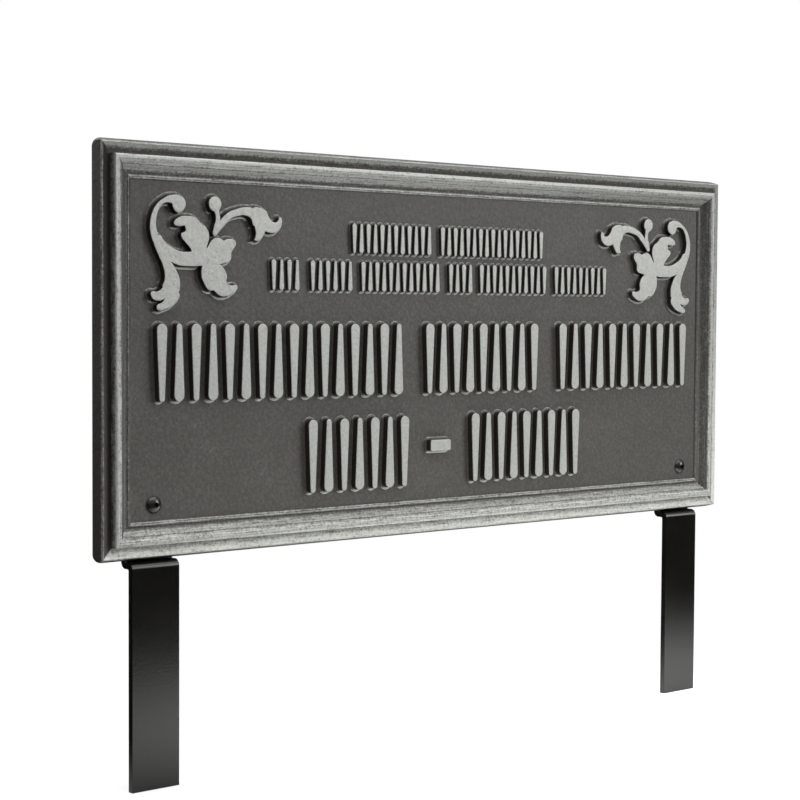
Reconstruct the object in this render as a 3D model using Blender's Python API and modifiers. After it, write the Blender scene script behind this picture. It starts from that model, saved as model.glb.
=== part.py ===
"""Memorial plaque: a cast plate with a moulded frame, scroll-and-flower corners and rows of raised
strokes, screwed to two flat-bar stakes that are cut off at the ground.

Metres, +Z up. The face looks towards -Y and the origin is on the ground between the stakes.
The plate and the screws are drawn lying flat, face up, and are then stood up by STANDING."""

import math

import bmesh
import bpy
from mathutils import Matrix, Vector

# Plate
PLAQUE_WIDTH = 0.4191
PLAQUE_HEIGHT = 0.1905
FIELD_THICKNESS = 0.0040
CORNER_RADIUS = 0.0042

# Frame moulding, from the outer edge inwards
BACK_EDGE = 0.0010
WALL_FLARE = 0.0017
ARRIS_HEIGHT = 0.0066
COVE_WIDTH = 0.0050
COVE_DROP = 0.0013
BEAD_WIDTH = 0.0042
BEAD_HEIGHT = 0.0092
BEAD_SHOULDER = 0.0010
BEAD_FALL = 0.0005
RISER_WIDTH = 0.0003
SLOPE_WIDTH = 0.0036
SLOPE_DROP = 0.0034
RECESS_WIDTH = 0.0009
LIP_WIDTH = 0.0019
LIP_HEIGHT = 0.0009
LIP_SIDE = 0.0005
FRAME_STEPS = 4
CORNER_STEPS = 5

# Corner ornaments, set in from the field's edges, their carving in hundredths of their height
ORNAMENT_HEIGHT = 0.0530
ORNAMENT_SIDE_MARGIN = 0.0086
ORNAMENT_TOP_MARGIN = 0.0064
ORNAMENT_RELIEF = 0.0030
OUTLINE_STEPS = 3
STRAIGHT_ANGLE = math.radians(2)

# Rows of raised strokes that stand for the inscription, the lowest set in from the field's edge
BOTTOM_ROW_MARGIN = 0.0082
LARGE_ROW_PITCH = 0.0466
LARGE_TO_SMALL_ROW = 0.0516
SMALL_ROW_PITCH = 0.0187
SMALL_STROKE_HEIGHT = 0.0140
SMALL_STROKE_WIDTH = 0.0022
SMALL_STROKE_PITCH = 0.0042
SMALL_RELIEF = 0.0022
LARGE_STROKE_HEIGHT = 0.0350
LARGE_STROKE_WIDTH = 0.0050
LARGE_STROKE_PITCH = 0.0092
LARGE_RELIEF = 0.0036
STROKE_TAPER = 0.50
STROKE_DRAFT = 0.0004
DASH_LENGTH = 0.0130
DASH_RISE = 0.0196

# Stakes
BAR_WIDTH = 0.0254
BAR_THICKNESS = 0.0033
BEND_RADIUS = 0.0008
BEND_STEPS = 6
JOGGLE = 0.0063
GROUND_TO_PLAQUE = 0.1060
TAB_ABOVE_SCREW = 0.0130
BAR_EDGE = 0.0004
EDGE_ANGLE = math.radians(60)

# Screws, their axes set in from the field's edges
SCREW_SIDE_MARGIN = 0.01245
SCREW_BOTTOM_MARGIN = 0.0074
HEAD_DIAMETER = 0.0079
HEAD_HEIGHT = 0.0022
HEAD_RIM = 0.0005
SHANK_DIAMETER = 0.0042
SCREW_PROUD = 0.0015
SOCKET_WIDTH = 0.0024
SOCKET_DEPTH = 0.0013
DOME_STEPS = 5
ROUND_STEPS = 24

# Gaps between pieces that touch, and how far a cutter or a raised form runs into the plate
GAP = 0.0003
SEAT_GAP = 0.0006
SINK = 0.0015
WELD = 0.000001

# What follows from the sizes above
BEAD_INSET = WALL_FLARE + COVE_WIDTH + RISER_WIDTH
LIP_INSET = BEAD_INSET + BEAD_WIDTH + SLOPE_WIDTH + RECESS_WIDTH
FIELD_INSET = LIP_INSET + LIP_WIDTH
SCREW_X = PLAQUE_WIDTH / 2 - FIELD_INSET - SCREW_SIDE_MARGIN
SCREW_HEIGHT = FIELD_INSET + SCREW_BOTTOM_MARGIN
HOLE_DIAMETER = SHANK_DIAMETER + 2 * GAP
TAB_FRONT = JOGGLE - BAR_THICKNESS / 2
BACK_PLANE = TAB_FRONT - GAP
SHELF_TOP = GROUND_TO_PLAQUE - SEAT_GAP
SCREW_Z = GROUND_TO_PLAQUE + SCREW_HEIGHT
STANDING = Matrix.Translation((0, BACK_PLANE, GROUND_TO_PLAQUE)) @ Matrix.Rotation(math.pi / 2, 4, "X")

for old in list(bpy.data.objects):
    bpy.data.objects.remove(old)
for old in list(bpy.data.meshes):
    bpy.data.meshes.remove(old)

pieces = bpy.data.collections.new("memorial_plaque")
cutters = bpy.data.collections.new("cutters")
bpy.context.scene.collection.children.link(pieces)
bpy.context.scene.collection.children.link(cutters)


def piece(name, mesh):
    """A visible object in the plaque's own collection."""
    obj = bpy.data.objects.new(name, mesh)
    pieces.objects.link(obj)
    return obj


def helper(name, mesh):
    """A hidden object that cuts, or is joined to, a visible one."""
    obj = bpy.data.objects.new(name, mesh)
    obj.hide_render = True
    obj.display_type = "WIRE"
    cutters.objects.link(obj)
    return obj


def mesh_of(bm, name):
    bmesh.ops.recalc_face_normals(bm, faces=bm.faces)
    mesh = bpy.data.meshes.new(name)
    bm.to_mesh(mesh)
    bm.free()
    return mesh


def finished_mesh(obj):
    """The object's mesh with its modifiers worked out and stray doubles welded."""
    graph = bpy.context.evaluated_depsgraph_get()
    mesh = bpy.data.meshes.new_from_object(obj.evaluated_get(graph))
    bm = bmesh.new()
    bm.from_mesh(mesh)
    bmesh.ops.remove_doubles(bm, verts=bm.verts, dist=WELD)
    bm.to_mesh(mesh)
    bm.free()
    return mesh


def boolean(obj, operation, other):
    modifier = obj.modifiers.new(operation.title(), "BOOLEAN")
    modifier.operation = operation
    modifier.solver = "EXACT"
    modifier.object = other


def paint(obj, name, colour, metallic, roughness):
    material = bpy.data.materials.new(name)
    material.use_nodes = True
    shader = material.node_tree.nodes["Principled BSDF"]
    shader.inputs["Base Color"].default_value = (*colour, 1)
    shader.inputs["Metallic"].default_value = metallic
    shader.inputs["Roughness"].default_value = roughness
    obj.data.materials.clear()
    obj.data.materials.append(material)


# Frame and plate


def frame_rings():
    """The moulding's rings as (inset, height): wall, cove, bead, slope down, recess, lip and field."""
    rings = [(0, BACK_EDGE), (WALL_FLARE, ARRIS_HEIGHT)]
    steps = [step / FRAME_STEPS for step in range(1, FRAME_STEPS + 1)]
    for part in steps:
        drop = COVE_DROP * math.sin(part * math.pi / 2)
        rings.append((WALL_FLARE + COVE_WIDTH * part, ARRIS_HEIGHT - drop))
    for part in [0] + steps:
        bow = BEAD_SHOULDER * (2 * part - 1) ** 2
        rings.append((BEAD_INSET + BEAD_WIDTH * part, BEAD_HEIGHT - bow - BEAD_FALL * part))
    slope, top = rings[-1]
    for part in steps:
        rings.append((slope + SLOPE_WIDTH * part, top - SLOPE_DROP * math.sin(part * math.pi / 2)))
    rings.append((LIP_INSET, rings[-1][1]))
    rings.append((LIP_INSET + LIP_SIDE, FIELD_THICKNESS + LIP_HEIGHT))
    rings.append((FIELD_INSET - LIP_SIDE, FIELD_THICKNESS + LIP_HEIGHT))
    rings.append((FIELD_INSET, FIELD_THICKNESS))
    return rings


def slab(bm, centre, width, height, bottom, top):
    """A box on the plate, and its front face."""
    place = Matrix.Translation((*centre, (bottom + top) / 2))
    made = bmesh.ops.create_cube(bm, size=1, matrix=place @ Matrix.Diagonal((width, height, top - bottom, 1)))
    faces = {face for vert in made["verts"] for face in vert.link_faces}
    return max(faces, key=lambda face: face.calc_center_median().z)


def plate_mesh():
    """A slab whose front is inset ring by ring, so that the moulding is mitred at the corners."""
    rings = frame_rings()
    bm = bmesh.new()
    front = slab(bm, (0, PLAQUE_HEIGHT / 2), PLAQUE_WIDTH, PLAQUE_HEIGHT, 0, rings[0][1])
    for (inset, height), (next_inset, next_height) in zip(rings, rings[1:]):
        bmesh.ops.inset_region(
            bm, faces=[front], thickness=next_inset - inset, depth=next_height - height, use_even_offset=True
        )
    return mesh_of(bm, "plate")


def corner_mesh():
    """A rounded block, a little larger than the plate, that takes its four corners down."""
    bm = bmesh.new()
    centre = (0, PLAQUE_HEIGHT / 2)
    slab(bm, centre, PLAQUE_WIDTH + 2 * GAP, PLAQUE_HEIGHT + 2 * GAP, -SINK, BEAD_HEIGHT + SINK)
    upright = [edge for edge in bm.edges if abs((edge.verts[0].co - edge.verts[1].co).z) > SINK]
    bmesh.ops.bevel(
        bm, geom=upright, offset=CORNER_RADIUS + GAP, segments=CORNER_STEPS, profile=0.5, affect="EDGES"
    )
    return mesh_of(bm, "corners")


# Raised forms


def closed_outline(points, sharp=()):
    """A block with a smooth outline through the points, and a corner at each index in sharp."""
    curve = bpy.data.curves.new("outline", "CURVE")
    curve.dimensions = "2D"
    curve.fill_mode = "BOTH"
    curve.resolution_u = OUTLINE_STEPS
    curve.extrude = (SINK + ORNAMENT_RELIEF) / 2
    spline = curve.splines.new("BEZIER")
    spline.bezier_points.add(len(points) - 1)
    spline.use_cyclic_u = True
    for index, (knot, place) in enumerate(zip(spline.bezier_points, points)):
        knot.co = (*place, 0)
        kind = "VECTOR" if index in sharp else "AUTO"
        knot.handle_left_type = kind
        knot.handle_right_type = kind
    obj = bpy.data.objects.new("outline", curve)
    cutters.objects.link(obj)
    mesh = finished_mesh(obj)
    bpy.data.objects.remove(obj)
    return mesh


def tapered(spine):
    """The outline of a stroke that swells and thins along its spine of (x, y, half width)."""
    left = []
    right = []
    for index, (x, y, half) in enumerate(spine):
        before = Vector(spine[max(index - 1, 0)][:2])
        after = Vector(spine[min(index + 1, len(spine) - 1)][:2])
        along = (after - before).normalized()
        side = Vector((-along.y, along.x)) * half
        left.append(Vector((x, y)) + side)
        right.append(Vector((x, y)) - side)
    return [tuple(place) for place in left + right[::-1]]


def in_hundredths(points):
    """Points in hundredths of the ornament's height, with any half width, in metres."""
    return [tuple(value * ORNAMENT_HEIGHT / 100 for value in point) for point in points]


def stroke_of(spine):
    return closed_outline(tapered(in_hundredths(spine)))


def petal_of(points, sharp=()):
    return closed_outline(in_hundredths(points), sharp)


def ornament_outlines():
    """The scroll, its branch, the flower and the bud with its arching leaf, for the left corner."""
    scroll = (
        (30, 93, 5), (22, 96, 3.5), (14, 94, 1.9), (8, 89, 2), (4.6, 82, 2.6), (3.2, 74, 3), (4.4, 66, 3.5),
        (8, 58, 4), (12.5, 49, 4), (17, 41, 4.4), (21, 33, 6.2), (22.6, 25, 8), (20.5, 18, 8),
    )
    bulb = ((24, 88), (23.5, 97), (31, 99), (36, 95), (35.5, 89), (29, 84))
    upper_toe = ((22, 20, 7), (13.5, 14.5, 4.4), (7, 12.6, 3.8), (1.5, 15, 1.4))
    lower_toe = ((26, 17, 5), (21.5, 10.5, 5.6), (14.5, 4.6, 3.4), (7.5, 2.4, 1.6))
    branch = (
        (7, 63, 3), (12, 56, 4.4), (20, 49.6, 5.6), (30, 45.6, 6), (40, 45, 6.2), (52, 46, 6.6), (60, 48, 7),
    )
    upper_petal = (
        (24.5, 75), (30, 80.8), (38, 82), (46.5, 81), (52.5, 76), (58, 72.4), (60.8, 66), (58.5, 56),
        (54, 46), (44, 48), (41.5, 54), (37, 58.6), (31.8, 66), (36.3, 69.4), (35.6, 73.8), (29, 73),
    )
    right_petal = (
        (57, 50), (60, 56.5), (66.5, 63.6), (71, 64), (76.6, 62), (83, 63.6), (89.2, 61), (84.6, 51.6),
        (83.6, 45), (76, 41.8), (64, 41),
    )
    lower_petal = (
        (56, 42), (52.8, 32), (55.4, 24.6), (61, 18.4), (66, 18.2), (71.6, 14), (78, 13), (86, 15.6),
        (91, 22.6), (84.6, 22.6), (79.6, 25), (79.8, 31), (76, 38), (68, 42),
    )
    bud = (
        (60.6, 93.6), (62.5, 98.2), (67.2, 100), (71.8, 98.2), (73.7, 93.6), (71.8, 89), (67.2, 87.1),
        (62.5, 89),
    )
    stem = ((68, 90, 2.4), (69.6, 85, 2.2), (70.2, 79, 2.4), (68, 72, 2.4), (66, 66, 0.7))
    arm = (
        (66.4, 66, 0.6), (70, 72, 2.6), (75.5, 78, 3), (82.5, 84, 2.9), (91, 87, 3.1), (100, 88.4, 3.6),
        (108, 86.4, 5), (114, 81, 7),
    )
    leaf = (
        (108, 91), (116, 92), (122.6, 89.4), (126, 83), (130.6, 79.8), (134.6, 80.4), (138, 85.2),
        (139.8, 79.6), (137, 73.6), (130, 70.2), (121.4, 71.4), (118.6, 66.6), (114.4, 62.6),
        (109.2, 63.4), (111, 68), (109.6, 76),
    )
    return [
        stroke_of(scroll),
        petal_of(bulb, sharp=(5,)),
        stroke_of(upper_toe),
        stroke_of(lower_toe),
        stroke_of(branch),
        petal_of(upper_petal, sharp=(14,)),
        petal_of(right_petal, sharp=(4,)),
        petal_of(lower_petal, sharp=(4, 8)),
        petal_of(bud),
        stroke_of(stem),
        stroke_of(arm),
        petal_of(leaf, sharp=(2, 6, 10, 13)),
    ]


def ornaments_mesh():
    """The left ornament, its blocks joined into one, and its mirror image, in their corners."""
    blocks = [helper("ornament_block", mesh) for mesh in ornament_outlines()]
    for other in blocks[1:]:
        boolean(blocks[0], "UNION", other)
    bm = bmesh.new()
    bm.from_mesh(finished_mesh(blocks[0]))
    for block in blocks:
        bpy.data.objects.remove(block)
    bmesh.ops.dissolve_limit(bm, angle_limit=STRAIGHT_ANGLE, verts=bm.verts, edges=bm.edges)
    bmesh.ops.triangulate(bm, faces=bm.faces)
    corner = (
        FIELD_INSET + ORNAMENT_SIDE_MARGIN - PLAQUE_WIDTH / 2,
        PLAQUE_HEIGHT - FIELD_INSET - ORNAMENT_TOP_MARGIN - ORNAMENT_HEIGHT,
        FIELD_THICKNESS + (ORNAMENT_RELIEF - SINK) / 2,
    )
    bmesh.ops.translate(bm, verts=bm.verts, vec=corner)
    copy = bmesh.ops.duplicate(bm, geom=bm.verts[:] + bm.edges[:] + bm.faces[:])["geom"]
    verts = [item for item in copy if isinstance(item, bmesh.types.BMVert)]
    bmesh.ops.scale(bm, verts=verts, vec=(-1, 1, 1))
    return mesh_of(bm, "ornaments")


def raise_front(bm, fronts, relief):
    """Brings a sunk form up to its relief, its sides drawn in by the draft."""
    bmesh.ops.inset_region(
        bm, faces=fronts, thickness=STROKE_DRAFT, depth=SINK / 2 + relief, use_even_offset=True
    )


def stroke_bar(bm, x, base, length, width, relief, flipped, steps):
    """One tapered stroke with round ends, its wide end up, or down where it is flipped."""
    wide = width / 2
    narrow = wide * STROKE_TAPER
    ends = [(length - wide, wide, 0), (narrow, narrow, math.pi)]
    ring = []
    for centre, radius, start in ends:
        for step in range(steps + 1):
            angle = start + math.pi * step / steps
            across = radius * math.cos(angle)
            along = centre + radius * math.sin(angle)
            ring.append((x + across, base + (length - along if flipped else along)))
    if flipped:
        ring.reverse()
    verts = [bm.verts.new((px, py, FIELD_THICKNESS - SINK)) for px, py in ring]
    foot = bm.faces.new(verts)
    grown = bmesh.ops.extrude_face_region(bm, geom=[foot])["geom"]
    fronts = [item for item in grown if isinstance(item, bmesh.types.BMFace)]
    tops = [item for item in grown if isinstance(item, bmesh.types.BMVert)]
    bmesh.ops.translate(bm, verts=tops, vec=(0, 0, SINK / 2))
    raise_front(bm, fronts, relief)


def stroke_group(bm, start, end, base, length, width, pitch, relief, steps):
    """Strokes side by side that fill the space from start to end, wide ends up and down in turn."""
    count = max(1, round((end - start) / pitch))
    spacing = (end - start - width) / max(count - 1, 1)
    for index in range(count):
        x = start + width / 2 + spacing * index
        stroke_bar(bm, x, base, length, width, relief, index % 2 == 1, steps)


def dash(bm, x, base, relief):
    centre = (x, base + DASH_RISE)
    front = slab(
        bm, centre, DASH_LENGTH, LARGE_STROKE_WIDTH, FIELD_THICKNESS - SINK, FIELD_THICKNESS - SINK / 2
    )
    raise_front(bm, [front], relief)


def rows_mesh():
    """Two small rows over two large ones, their groups as shares of the field's width from its middle."""
    field = PLAQUE_WIDTH - 2 * FIELD_INSET
    small = (SMALL_STROKE_HEIGHT, SMALL_STROKE_WIDTH, SMALL_STROKE_PITCH, SMALL_RELIEF, 2)
    large = (LARGE_STROKE_HEIGHT, LARGE_STROKE_WIDTH, LARGE_STROKE_PITCH, LARGE_RELIEF, 4)
    lower_large = FIELD_INSET + BOTTOM_ROW_MARGIN
    upper_large = lower_large + LARGE_ROW_PITCH
    lower_small = upper_large + LARGE_TO_SMALL_ROW
    upper_small = lower_small + SMALL_ROW_PITCH
    last_groups = ((-0.242, -0.077), (0.036, 0.242))
    rows = (
        (upper_small, small, ((-0.170, -0.037), (-0.019, 0.170))),
        (lower_small, small, ((-0.298, -0.256), (-0.237, -0.171), (-0.155, -0.022))),
        (lower_small, small, ((-0.004, 0.037), (0.052, 0.177), (0.195, 0.298))),
        (upper_large, large, ((-0.468, -0.088), (-0.047, 0.159), (0.202, 0.468))),
        (lower_large, large, last_groups),
    )
    bm = bmesh.new()
    for base, (length, width, pitch, relief, steps), groups in rows:
        for start, end in groups:
            stroke_group(bm, start * field, end * field, base, length, width, pitch, relief, steps)
    between = (last_groups[0][1] + last_groups[1][0]) / 2 * field
    dash(bm, between, lower_large, LARGE_RELIEF)
    return mesh_of(bm, "rows")


def prism_mesh(name, sides, across, reach):
    """A cutter round Z with that many sides and that distance across its corners."""
    bm = bmesh.new()
    bmesh.ops.create_cone(
        bm, cap_ends=True, segments=sides, radius1=across / 2, radius2=across / 2, depth=2 * reach
    )
    return mesh_of(bm, name)


def plaque():
    obj = piece("plaque", plate_mesh())
    joined = [("INTERSECT", helper("corner_block", corner_mesh()))]
    for side, name in ((-1, "plaque_hole_left"), (1, "plaque_hole_right")):
        hole = helper(name, prism_mesh("hole", ROUND_STEPS, HOLE_DIAMETER, FIELD_THICKNESS + BEAD_HEIGHT))
        hole.location = (side * SCREW_X, SCREW_HEIGHT, 0)
        joined.append(("DIFFERENCE", hole))
    joined.append(("UNION", helper("corner_ornaments", ornaments_mesh())))
    joined.append(("UNION", helper("stroke_rows", rows_mesh())))
    obj.matrix_world = STANDING
    for operation, other in joined:
        other.parent = obj
        boolean(obj, operation, other)
    paint(obj, "antique pewter paint", (0.20, 0.20, 0.19), 0.6, 0.5)


# Stakes


def bend(centre, radius, start, turn):
    """Points of an arc as (y, z), from the start angle through the turn, both in radians."""
    return [
        (
            centre[0] + radius * math.cos(start + turn * step / BEND_STEPS),
            centre[1] + radius * math.sin(start + turn * step / BEND_STEPS),
        )
        for step in range(BEND_STEPS + 1)
    ]


def stake_mesh():
    """The bar's middle line as a ribbon: up from the ground, back under the plate, up behind it."""
    radius = BEND_RADIUS + BAR_THICKNESS / 2
    shelf = SHELF_TOP - BAR_THICKNESS / 2
    line = [(0, 0)]
    line += bend((radius, shelf - radius), radius, math.pi, -math.pi / 2)
    line += bend((JOGGLE - radius, shelf + radius), radius, -math.pi / 2, math.pi / 2)
    line.append((JOGGLE, SCREW_Z + TAB_ABOVE_SCREW))
    curve = bpy.data.curves.new("stake_line", "CURVE")
    curve.extrude = BAR_WIDTH / 2
    spline = curve.splines.new("POLY")
    spline.points.add(len(line) - 1)
    for knot, (y, z) in zip(spline.points, line):
        knot.co = (y, z, 0, 1)
    ribbon = bpy.data.objects.new("stake_line", curve)
    cutters.objects.link(ribbon)
    mesh = finished_mesh(ribbon)
    bpy.data.objects.remove(ribbon)
    return mesh


def stake(name, side, mesh):
    obj = piece(name, mesh)
    obj.location = (side * SCREW_X, 0, 0)
    obj.rotation_euler = (math.pi / 2, 0, math.pi / 2)
    thickness = obj.modifiers.new("Thickness", "SOLIDIFY")
    thickness.thickness = BAR_THICKNESS
    thickness.offset = 0
    thickness.use_even_offset = True
    hole = helper(name + "_hole", prism_mesh("hole", ROUND_STEPS, HOLE_DIAMETER, BAR_THICKNESS))
    hole.parent = obj
    hole.location = (JOGGLE, SCREW_Z, 0)
    hole.rotation_euler = (0, math.pi / 2, 0)
    boolean(obj, "DIFFERENCE", hole)
    edges = obj.modifiers.new("Edges", "BEVEL")
    edges.width = BAR_EDGE
    edges.segments = 1
    edges.limit_method = "ANGLE"
    edges.angle_limit = EDGE_ANGLE
    paint(obj, "black powder coat", (0.012, 0.012, 0.012), 0.0, 0.4)


# Screws


def screw_mesh():
    """Half a button-head screw as a profile in XZ, from the crown down to the tip."""
    rise = HEAD_HEIGHT - HEAD_RIM
    half = HEAD_DIAMETER / 2
    dome = (half**2 + rise**2) / (2 * rise)
    reach = math.asin(half / dome)
    tip = FIELD_THICKNESS + 2 * GAP + BAR_THICKNESS + SCREW_PROUD
    shank = SHANK_DIAMETER / 2
    chamfer = shank / 4
    angles = [reach * step / DOME_STEPS for step in range(DOME_STEPS + 1)]
    profile = [(dome * math.sin(angle), HEAD_HEIGHT - dome * (1 - math.cos(angle))) for angle in angles]
    profile += [(half, 0), (shank, 0), (shank, chamfer - tip), (shank - chamfer, -tip), (0, -tip)]
    mesh = bpy.data.meshes.new("screw")
    verts = [(x, 0, z) for x, z in profile]
    mesh.from_pydata(verts, [(index, index + 1) for index in range(len(verts) - 1)], [])
    return mesh


def screw(name, side):
    obj = piece(name, screw_mesh())
    seat = Vector((side * SCREW_X, SCREW_HEIGHT, FIELD_THICKNESS + GAP))
    obj.matrix_world = STANDING @ Matrix.Translation(seat)
    turned = obj.modifiers.new("Turned", "SCREW")
    turned.steps = ROUND_STEPS
    turned.render_steps = ROUND_STEPS
    turned.use_merge_vertices = True
    turned.merge_threshold = WELD
    across_corners = SOCKET_WIDTH / math.cos(math.pi / 6)
    socket = helper(name + "_socket", prism_mesh("socket", 6, across_corners, SOCKET_DEPTH))
    socket.parent = obj
    socket.location = (0, 0, HEAD_HEIGHT)
    boolean(obj, "DIFFERENCE", socket)
    paint(obj, "black oxide steel", (0.02, 0.02, 0.02), 0.8, 0.3)


plaque()
ribbon_mesh = stake_mesh()
stake("stake_left", -1, ribbon_mesh)
stake("stake_right", 1, ribbon_mesh.copy())
screw("screw_left", -1)
screw("screw_right", 1)
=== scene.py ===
"""Looks of the cast memorial plaque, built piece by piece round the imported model."""

import math

import bpy
from mathutils import Matrix, Vector


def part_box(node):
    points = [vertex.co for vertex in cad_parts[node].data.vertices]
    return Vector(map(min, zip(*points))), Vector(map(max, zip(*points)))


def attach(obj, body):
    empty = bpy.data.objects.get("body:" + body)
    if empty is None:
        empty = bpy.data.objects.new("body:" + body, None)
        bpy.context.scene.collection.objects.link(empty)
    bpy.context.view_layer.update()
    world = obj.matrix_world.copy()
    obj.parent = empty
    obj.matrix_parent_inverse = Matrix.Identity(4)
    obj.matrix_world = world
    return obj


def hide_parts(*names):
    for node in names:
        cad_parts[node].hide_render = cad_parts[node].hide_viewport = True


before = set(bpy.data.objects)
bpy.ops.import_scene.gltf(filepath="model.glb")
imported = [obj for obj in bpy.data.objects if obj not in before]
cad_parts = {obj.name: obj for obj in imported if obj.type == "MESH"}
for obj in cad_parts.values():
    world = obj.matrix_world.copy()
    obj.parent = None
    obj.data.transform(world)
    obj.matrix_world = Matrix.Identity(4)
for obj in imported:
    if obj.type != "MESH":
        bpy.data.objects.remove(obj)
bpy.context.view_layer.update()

# Plate
# One casting: a flat field inside a moulded frame, mitred at the corners, with a plain flat back.
# It is cast aluminium under dark pewter paint, and silver was rubbed over whatever stands proud.
# The paint also holds painted light: more silver on the top and bottom members than on the uprights
# and on the right upright's outer band, and deep brown, partly painted shade, on outer walls and coves.
# A screw goes through it near each lower corner.

MM = 0.001
FIELD_THICKNESS = 4.0 * MM
CORNER_RADIUS = 4.2 * MM
CORNER_STEPS = 10
CORNER_BLOCK_DEPTH = 20 * MM
CORNER_BLOCK_SPARE = 0.02 * MM
BACK_ROUNDING = 0.5 * MM
BACK_STEPS = 3
BACK_EDGE_BAND = 5 * MM
SCREW_HOLE_RADIUS = 2.4 * MM
SCREW_HOLE_SIDES = 32
NEAR = 0.01 * MM
SHARP_ANGLE = math.radians(38)

# Frame moulding from the outer edge inwards: inset, height above the back and rounding, in mm
MOULDING = (
    (0.00, 1.00, 0.00), (1.70, 6.60, 0.45), (3.00, 5.98, 1.20), (4.90, 5.42, 1.20), (6.75, 5.30, 0.30),
    (7.00, 8.25, 0.35), (7.90, 8.95, 0.60), (8.95, 8.90, 0.25), (9.15, 8.68, 0.12), (9.40, 8.80, 0.20),
    (10.40, 8.45, 0.60), (11.20, 7.80, 0.30), (11.40, 7.35, 0.15), (11.75, 7.25, 0.20),
    (12.60, 6.10, 1.00), (13.60, 4.75, 0.80), (14.80, 4.30, 0.50), (15.70, 4.30, 0.25),
    (16.05, 4.85, 0.20), (16.60, 4.90, 0.10), (16.85, 4.68, 0.08), (17.10, 4.88, 0.10),
    (17.45, 4.72, 0.25), (17.85, 4.00, 0.00),
)
ROUNDING_STEPS = 4

plate_low, plate_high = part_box("plaque")
plate_width = plate_high.x - plate_low.x
plate_height = plate_high.z - plate_low.z
plate_middle = (plate_high.z + plate_low.z) / 2
field_y = plate_high.y - FIELD_THICKNESS
standing = Matrix.Translation((0, plate_high.y, plate_low.z)) @ Matrix.Rotation(math.pi / 2, 4, "X")


def only(obj):
    """Makes obj the one object that is selected and active."""
    bpy.ops.object.select_all(action="DESELECT")
    obj.select_set(True)
    bpy.context.view_layer.objects.active = obj


def added(name):
    """The primitive that was just added, named and alone in the selection."""
    obj = bpy.context.object
    obj.name = name
    only(obj)
    return obj


def apply_modifier(obj, kind, **settings):
    modifier = obj.modifiers.new(kind.title(), kind)
    for name, value in settings.items():
        setattr(modifier, name, value)
    only(obj)
    bpy.ops.object.modifier_apply(modifier=modifier.name)


def cut(obj, cutter, operation="DIFFERENCE"):
    """Cuts with a solid, or joins it on or keeps what both share, and removes it."""
    apply_modifier(obj, "BOOLEAN", object=cutter, operation=operation, solver="EXACT")
    bpy.data.objects.remove(cutter)


def select(obj, domain, test):
    """In edit mode, selects just the faces, edges or vertices that pass the test."""
    bpy.ops.mesh.select_all(action="DESELECT")
    bpy.ops.object.mode_set(mode="OBJECT")
    for item in getattr(obj.data, domain):
        item.select = test(item)
    bpy.ops.object.mode_set(mode="EDIT")


def edge_ends(obj, edge):
    return [obj.data.vertices[index].co for index in edge.vertices]


def stood_up(obj, place=standing):
    """Moves a piece drawn flat, face up, into its place, with the place in its mesh."""
    obj.matrix_world = place
    only(obj)
    bpy.ops.object.transform_apply(location=True, rotation=True, scale=True)


def smoothed(obj):
    """Smooths the roundings of a piece and keeps its flat faces flat."""
    only(obj)
    bpy.ops.object.shade_smooth_by_angle(angle=SHARP_ANGLE)
    apply_modifier(obj, "WEIGHTED_NORMAL", keep_sharp=True)


def rounded(profile, steps):
    """The profile's points, in metres, with a short curve at each point that has a rounding."""
    points = [Vector((inset, height)) * MM for inset, height, _ in profile]
    line = [points[0]]
    for index in range(1, len(points) - 1):
        here = points[index]
        before = points[index - 1] - here
        after = points[index + 1] - here
        reach = profile[index][2] * MM
        start = here + before.normalized() * min(reach, before.length / 2)
        end = here + after.normalized() * min(reach, after.length / 2)
        for step in range(steps + 1):
            share = step / steps
            line.append(start.lerp(here, share).lerp(here.lerp(end, share), share))
    line.append(points[-1])
    return line


rings = rounded(MOULDING, ROUNDING_STEPS)
square_edge = rings[0].y
bpy.ops.object.select_all(action="DESELECT")
bpy.ops.mesh.primitive_cube_add(size=1, location=(0, plate_height / 2, square_edge / 2))
casting = added("plaque_casting")
casting.scale = (plate_width, plate_height, square_edge)
bpy.ops.object.transform_apply(location=True, rotation=True, scale=True)
bpy.ops.object.mode_set(mode="EDIT")
select(casting, "polygons", lambda face: face.normal.z > 0.5)
for ring, following in zip(rings, rings[1:]):
    step = following - ring
    if step.length > 0:
        bpy.ops.mesh.inset(thickness=step.x, depth=step.y, use_even_offset=True)
bpy.ops.object.mode_set(mode="OBJECT")

bpy.ops.mesh.primitive_cube_add(size=1, location=(0, plate_height / 2, 0))
corner_block = added("corner_block")
corner_block.scale = (
    plate_width + CORNER_BLOCK_SPARE, plate_height + CORNER_BLOCK_SPARE, CORNER_BLOCK_DEPTH
)
bpy.ops.object.transform_apply(location=True, rotation=True, scale=True)
bpy.ops.object.mode_set(mode="EDIT")
select(
    corner_block,
    "edges",
    lambda edge: abs((edge_ends(corner_block, edge)[0] - edge_ends(corner_block, edge)[1]).z) > MM,
)
bpy.ops.mesh.bevel(offset=CORNER_RADIUS, segments=CORNER_STEPS, affect="EDGES")
bpy.ops.object.mode_set(mode="OBJECT")
cut(casting, corner_block, "INTERSECT")


def on_back_rim(point):
    """Whether a point of the casting lies on its flat back, near the outer edge."""
    near_side = abs(point.x) > plate_width / 2 - BACK_EDGE_BAND
    near_end = abs(point.y - plate_height / 2) > plate_height / 2 - BACK_EDGE_BAND
    return abs(point.z) < NEAR and (near_side or near_end)


only(casting)
bpy.ops.object.mode_set(mode="EDIT")
select(casting, "edges", lambda edge: all(on_back_rim(end) for end in edge_ends(casting, edge)))
bpy.ops.mesh.bevel(offset=BACK_ROUNDING, segments=BACK_STEPS, affect="EDGES")
bpy.ops.object.mode_set(mode="OBJECT")

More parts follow.
